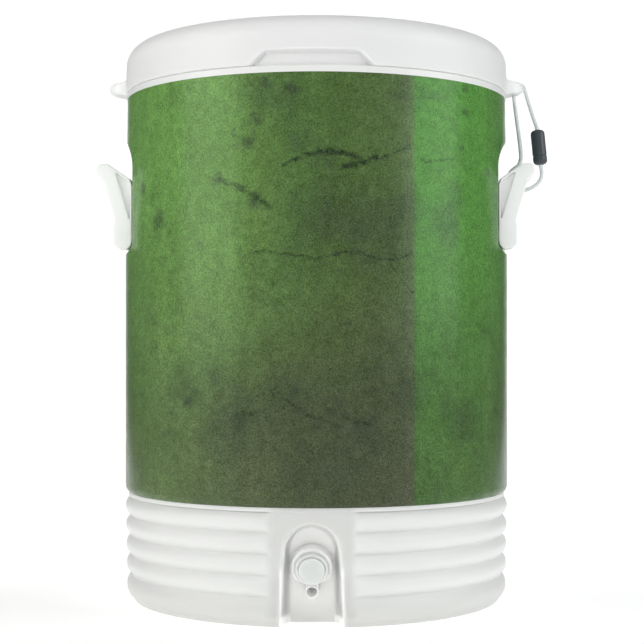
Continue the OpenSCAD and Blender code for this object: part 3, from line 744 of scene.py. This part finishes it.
SHOULDER = 20 * MM
DISH_R = 138 * MM
DISH_H = 3 * MM
EAR_C = 183 * MM
EAR_HALF = 15 * MM
EAR_HEIGHTS = np.array([475.4, 476.4, 477.3, 479.8, 483.2, 486.3, 488.0, 489.6, 491.5]) * MM
EAR_REACH = [0.0, 0.30, 0.72, 0.95, 1.0, 0.95, 0.80, 0.28, 0.0]
GRIP_HALF_LOW, GRIP_HALF_TOP = 53 * MM, 40.5 * MM
GRIP_H, GRIP_IN = 12 * MM, 5.5 * MM
CORD_WAY_R = 2.6 * MM


def lid_profile():
    """Radius and height down the lid's outside, from the middle of its top."""
    top, low = LID_HIGH.z, LID_LOW.z
    dish = [(r, top - DISH_H) for r in np.array([15, 60, 100, 125, 134]) * MM]
    bank = [(DISH_R + 8 * MM * t, top - DISH_H + DISH_H * smooth(t, 0, 1)) for t in np.linspace(0, 1, 7)]
    rim = [(r, top) for r in np.array([149, 154]) * MM]
    turn = np.linspace(math.pi / 2, 0, 19)
    edge = LID_R - 0.6 * MM - SHOULDER
    shoulder = [(edge + SHOULDER * math.cos(a), top - SHOULDER + SHOULDER * math.sin(a)) for a in turn]
    band = np.unique(np.concatenate([np.linspace(low + 1 * MM, top - SHOULDER - 1 * MM, 12),
                                     np.arange(475.6, 491.6, 0.5) * MM, np.arange(483, 490, 0.25) * MM]))
    side = [(np.interp(z, [low + 3 * MM, top - SHOULDER], [LID_R, LID_R - 0.6 * MM]), z) for z in band[::-1]]
    lip = [(LID_R - 0.1 * MM, low + 0.5 * MM), (LID_R - 0.35 * MM, low + 0.15 * MM), (LID_R - 0.9 * MM, low)]
    return dish + bank + rim + shoulder + side + lip


def ear_reach(turn, z):
    """How far an ear's rounded tab stands out from the lid at these angles, 0 where there is none."""
    side = np.minimum(np.abs(np.cos(turn)) * EAR_C, EAR_HALF)
    tab = EAR_C * np.abs(np.sin(turn)) + np.sqrt(EAR_HALF ** 2 - side ** 2)
    tab = np.where(np.abs(np.cos(turn)) * EAR_C < EAR_HALF, tab, LID_R)
    share = np.interp(z, EAR_HEIGHTS, EAR_REACH)
    return np.maximum(tab - LID_R, 0) * share


def grip_depth(turn, z):
    """How far the grip recess at the front and the back goes in."""
    up = (z - LID_LOW.z) / GRIP_H
    half = GRIP_HALF_LOW + (GRIP_HALF_TOP - GRIP_HALF_LOW) * np.clip(up, 0, 1)
    across = smooth(half + 2.5 * MM - np.abs(np.sin(turn)) * LID_R, 0, 5 * MM)
    return GRIP_IN * across * smooth(1.0 - up, -0.18, 0.22)


def lid_rings(turn, profile, inside):
    """Rings through a lid profile, with the grip recesses, and with the ears on the outside."""
    rings = []
    for r, z in profile:
        radius = np.full(turn.shape, r)
        if r > LID_R - 12 * MM and z < LID_LOW.z + 18 * MM:
            radius = radius - grip_depth(turn, z)
            if not inside:
                radius = radius + ear_reach(turn, z)
        rings.append(ring(turn, radius, z))
    return rings


def add_lid(material):
    """The lid's outer skin, which is open below."""
    turn = angles(0.6, (90, 7, 0.12), (-90, 7, 0.12), (15, 4, 0.2), (-15, 4, 0.2),
                  (-165, 4, 0.2), (165, 4, 0.2))
    outside = lid_profile()
    inside = [(r - WALL if r > DISH_R else r, z - (WALL if z > LID_LOW.z + 18 * MM else 0))
              for r, z in outside if z > LID_LOW.z + 1.5 * MM]
    rings = lid_rings(turn, outside, False)
    rings += lid_rings(turn, [(LID_R - WALL, LID_LOW.z)] + inside[::-1], True)
    lid = skin("moulded_lid", rings[::-1], material, smooth_angle=math.radians(50))
    cut_cord_way(lid)
    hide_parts("lid_shell")
    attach(lid, "lid")


def cut_cord_way(lid):
    """Cuts the cord's hole and channel out of the ear."""
    path = cord_path(17, 24, 6)
    sweep = skin("cord_way", tube_rings(path, 24, lambda turn, along: np.full(turn.shape, CORD_WAY_R)),
                 lid.data.materials[0])
    cut = lid.modifiers.new("cord_way", "BOOLEAN")
    cut.object = sweep
    cut.operation = "DIFFERENCE"
    cut.solver = "EXACT"
    apply_modifiers(lid)
    bpy.data.objects.remove(sweep)
    finish_shading(lid, math.radians(50))


# ---------------------------------------------------------------- handles, spigot and connector

HANDLE_BACK = 172 * MM
HANDLE_SINK = 1.2 * MM


def sink(point):
    """Moves a handle's back face slightly into the wall, so that its rounded edge leaves no slot."""
    if abs(point.x) < HANDLE_BACK:
        return Vector((point.x - math.copysign(HANDLE_SINK, point.x), point.y, point.z))
    return point


def add_handles(material):
    for side in ("left", "right"):
        handle = moulded_copy("handle_" + side, "moulded_handle_" + side, 0.65 * MM, material, 2,
                              reshape=sink)
        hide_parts("handle_" + side)
        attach(handle, "jug")


HOOD_IN, HOOD_OUT = 13.2 * MM, 15.4 * MM
HOOD_FILL_LOW, HOOD_FILL_TOP = 3 * MM, 12.9 * MM
HOOD_ENDS = (-49, 229)


def hood_fill(material):
    """The web between the spigot's barrel and its hood, which leaves a shallow groove between their rims."""
    corners = [(HOOD_IN, HOOD_FILL_LOW), (HOOD_OUT, HOOD_FILL_LOW),
               (HOOD_OUT, HOOD_FILL_TOP), (HOOD_IN, HOOD_FILL_TOP)]
    rings = []
    for turn in np.radians(np.linspace(*HOOD_ENDS, 90)):
        rings.append(np.array([on_spigot(r * math.cos(turn), r * math.sin(turn), w) for r, w in corners]))
    return skin("hood_fill", rings, material)


def on_spigot(x, v, w):
    """A point given across, up along the recess floor, and out from it."""
    return (x, -FLOOR_Y - v * math.sin(TILT) - w * math.cos(TILT),
            SPIGOT_Z + v * math.cos(TILT) - w * math.sin(TILT))


def add_spigot(material):
    spigot = moulded_copy("spigot_body", "moulded_spigot", 0.35 * MM, material, 5, extra=hood_fill(material))
    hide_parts("spigot_body")
    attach(spigot, "jug")


def add_button(material):
    button = moulded_copy("spigot_button", "moulded_button", 0.22 * MM, material, 4)
    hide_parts("spigot_button")
    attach(button, "button")


def add_spring(material):
    """The button's coil spring, a copy of the CAD spring that is attached to the jug."""
    spring = bpy.data.objects.new("coiled_spring", NODES["spigot_spring"].data.copy())
    bpy.context.scene.collection.objects.link(spring)
    spring.data.materials.clear()
    spring.data.materials.append(material)
    finish_shading(spring, math.radians(60))
    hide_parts("spigot_spring")
    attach(spring, "jug")
    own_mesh(spring)


CONN_FOOT = Vector((0.2138, 0.0, 0.4106))
CONN_LEAN = math.radians(5.6)
CONN_LENGTH = 33.4 * MM
CONN_SPLIT = 8.4 * MM
CONN_R = 6.7 * MM
CONN_ROUND = 4.2 * MM
CONN_BORE_R = 2.6 * MM
CONN_BORE = 6.4 * MM
FLUTES = 20
FLUTE_DEPTH = 0.12 * MM


def barrel(name, material, outline, fluted):
    """One half of the barrel connector: a turned shape with shallow grip flutes between two heights."""
    turn = np.linspace(0, 2 * math.pi, 160, endpoint=False)
    rings = []
    for radius, z in outline:
        depth = FLUTE_DEPTH * smooth(z, fluted[0], fluted[0] + 1 * MM)
        depth *= smooth(-z, -fluted[1], -fluted[1] + 1 * MM)
        wavy = radius - depth * (0.5 - 0.5 * np.cos(FLUTES * turn)) * (radius > CONN_R * 0.9)
        x, y = wavy * np.cos(turn), wavy * np.sin(turn)
        lean_x = x * math.cos(CONN_LEAN) - z * math.sin(CONN_LEAN)
        lean_z = x * math.sin(CONN_LEAN) + z * math.cos(CONN_LEAN)
        rings.append(np.stack([lean_x, y, lean_z], 1) + np.array(CONN_FOOT))
    half = skin(name, rings, material, smooth_angle=math.radians(35))
    return half


def rounded_end(z, way):
    """Outline from the bore's mouth round to the side, at the connector's end at z."""
    bore = [(CONN_BORE_R, z - way * CONN_BORE), (CONN_BORE_R, z - way * 0.4 * MM),
            (CONN_BORE_R + 0.4 * MM, z)]
    radius, centre = CONN_R - CONN_ROUND, z - way * CONN_ROUND
    return bore + [(radius + CONN_ROUND * math.cos(a), centre + way * CONN_ROUND * math.sin(a))
                   for a in np.linspace(math.pi / 2, 0, 8)]


def add_connector(material):
    cap_side = [(CONN_R, z) for z in np.linspace(CONN_ROUND + 0.6 * MM, CONN_SPLIT - 0.5 * MM, 8)]
    cap = barrel("connector_cap_turned", material, rounded_end(0, -1) + cap_side
                 + [(CONN_R - 0.4 * MM, CONN_SPLIT), (0.4 * MM, CONN_SPLIT)], (4 * MM, 8 * MM))
    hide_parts("connector_cap")
    start = CONN_SPLIT + 0.5 * MM
    body_side = [(CONN_R, z) for z in np.linspace(start + 0.5 * MM, CONN_LENGTH - CONN_ROUND - 0.6 * MM, 24)]
    body = barrel("connector_body_turned", material, [(0.4 * MM, CONN_SPLIT), (CONN_R - 0.8 * MM, CONN_SPLIT),
                  (CONN_R - 0.8 * MM, start), (CONN_R - 0.4 * MM, start)] + body_side
                  + rounded_end(CONN_LENGTH, 1)[::-1], (12 * MM, 25 * MM))
    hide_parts("connector_body")
    for half in (cap, body):
        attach(half, "jug")
    return cap, body


# ---------------------------------------------------------------- room

FLOOR_HALF = 4.0
FLOOR_GLOW, FLOOR_GLOW_NEAR = 0.62, 0.36


def add_floor():
    """A pale floor that turns up into a backdrop far behind. It glows a little and is greyer to the sides."""
    s = Shader("floor")
    x, y, _ = s.axes()
    behind = s.calc("MULTIPLY", s.calc("MAXIMUM", y, 0), 0.2)
    aside = s.span(s.calc("SUBTRACT", s.calc("ABSOLUTE", x), behind), 0.75, 1.15)
    far = s.span(y, -0.15, 0.3, FLOOR_GLOW_NEAR, FLOOR_GLOW)
    s.set("Base Color", s.mix(aside, s.mix(s.noise(3, 2), rgb(246, 246, 246), rgb(252, 252, 252)),
                              rgb(178, 178, 178)))
    s.set("Roughness", 0.85)
    s.set("Emission Color", (1.0, 1.0, 1.0, 1.0))
    s.set("Emission Strength", s.calc("MULTIPLY", s.calc("SUBTRACT", 1, aside), far))
    s.bump(s.noise(220, 2), 0.05 * MM)
    turn = np.linspace(-math.pi / 2, 0, 12)
    outline = [(-FLOOR_HALF, 0.0)] + [(3.0 + math.cos(a), 1.0 + math.sin(a)) for a in turn] + [(4.0, 5.0)]
    points = [(x, y, z) for y, z in outline for x in (-FLOOR_HALF, FLOOR_HALF)]
    faces = [(2 * i, 2 * i + 1, 2 * i + 3, 2 * i + 2) for i in range(len(outline) - 1)]
    floor = add_mesh("floor", points, faces, s.material, math.pi)


def add_light(name, azimuth, distance, height, size, power, aim_z, tint=(1, 1, 1)):
    """A soft box at an angle from the front, counted towards +X, that faces the axis at aim_z."""
    data = bpy.data.lights.new(name, "AREA")
    data.shape = "RECTANGLE"
    data.size, data.size_y = size
    data.energy = power
    data.color = tint
    light = bpy.data.objects.new(name, data)
    a = math.radians(azimuth)
    light.location = (distance * math.sin(a), -distance * math.cos(a), height)
    light.rotation_euler = (Vector((0, 0, aim_z)) - light.location).to_track_quat("-Z", "Y").to_euler()
    bpy.context.scene.collection.objects.link(light)
    return light


def add_lights():
    """Two side boxes, a weak one above, and a wide fill in front that shows in no reflection."""
    add_light("left_box", -60, 1.7, 1.05, (1.10, 1.6), 15, 1.05, (1.0, 0.995, 0.98))
    add_light("right_box", 71, 1.7, 1.05, (1.05, 1.6), 15, 1.05, (0.975, 0.99, 1.0))
    add_light("top_box", 0, 1.1, 2.3, (1.5, 1.2), 3, 0.3)
    fill = add_light("front_fill", 0, 2.4, 0.6, (3.8, 1.3), 22, 0.35)
    fill.visible_glossy = False
    world = bpy.data.worlds.new("studio")
    world.use_nodes = True
    background = world.node_tree.nodes["Background"]
    background.inputs[0].default_value = (1.0, 1.0, 1.0, 1.0)
    background.inputs[1].default_value = 0.20
    bpy.context.scene.world = world
    bpy.context.scene.view_settings.view_transform = "Standard"


# ---------------------------------------------------------------- the jug

def paint(nodes, material):
    """Gives CAD nodes that keep their shape a material."""
    for node in nodes:
        mesh = NODES[node].data
        mesh.materials.clear()
        mesh.materials.append(material)
        mesh.shade_smooth()
        mesh.set_sharp_from_angle(angle=math.radians(30))


# Each moulding's lighter and darker colour
WHITE = (rgb(230, 231, 229), rgb(223, 224, 222))
LID_WHITE = (rgb(247, 248, 247), rgb(241, 242, 241))
# Painted light: the handles' white is a lighter copy of the same white plastic, to make up for shade on their
# front faces
HANDLE_PAINTED_LIGHT_WHITE = (rgb(250, 251, 250), rgb(244, 246, 245))
BUTTON_WHITE = (rgb(227, 231, 228), rgb(221, 225, 222))
BLACK = (rgb(70, 78, 83), rgb(60, 67, 72))

add_camera()
white = moulded_plastic("white_moulding", *WHITE, 0.46, 0.05 * MM, glow=1.0, scatter=4 * MM, tone=base_painted_shade_and_light)
pale = moulded_plastic("pale_moulding", *LID_WHITE, 0.46, 0.02 * MM, glow=0.5)
# Painted light: the handles' material is the lighter copy of the white plastic
bright = moulded_plastic("handle_painted_light_moulding", *HANDLE_PAINTED_LIGHT_WHITE, 0.46, 0.05 * MM, glow=0.35)
cord, cord_line = add_cord(woven_cord("cord"))
connector = add_connector(moulded_plastic("black_moulding", *BLACK, 0.34, 0.04 * MM))

add_wall(printed_wall())
add_base(white)
add_lid(pale)
add_handles(bright)
add_spigot(moulded_plastic("spigot_moulding", *WHITE, 0.46, 0.04 * MM, glow=0.6))
add_button(moulded_plastic("button_moulding", *BUTTON_WHITE, 0.40, 0.03 * MM, glow=0.4))

paint(["inner_liner", "lid_liner"], moulded_plastic("liner_moulding", *WHITE, 0.34, 0.03 * MM))
paint(["foam_plug", "lock_nut"], white)
paint(["wall_foam", "lid_foam"], foam("foam"))
paint(["lid_gasket", "outer_gasket", "inner_gasket"], rubber("soft_seal", rgb(205, 205, 200)))
paint(["valve_seal", "stem_o_ring"], rubber("black_rubber", rgb(34, 34, 34)))
steel = metal("steel", rgb(190, 190, 188), 0.30)
add_spring(steel)
paint(["handle_screws", "spigot_stem"], steel)
paint(["handle_inserts"], metal("brass_insert", rgb(206, 172, 96), 0.32))

add_floor()
add_lights()
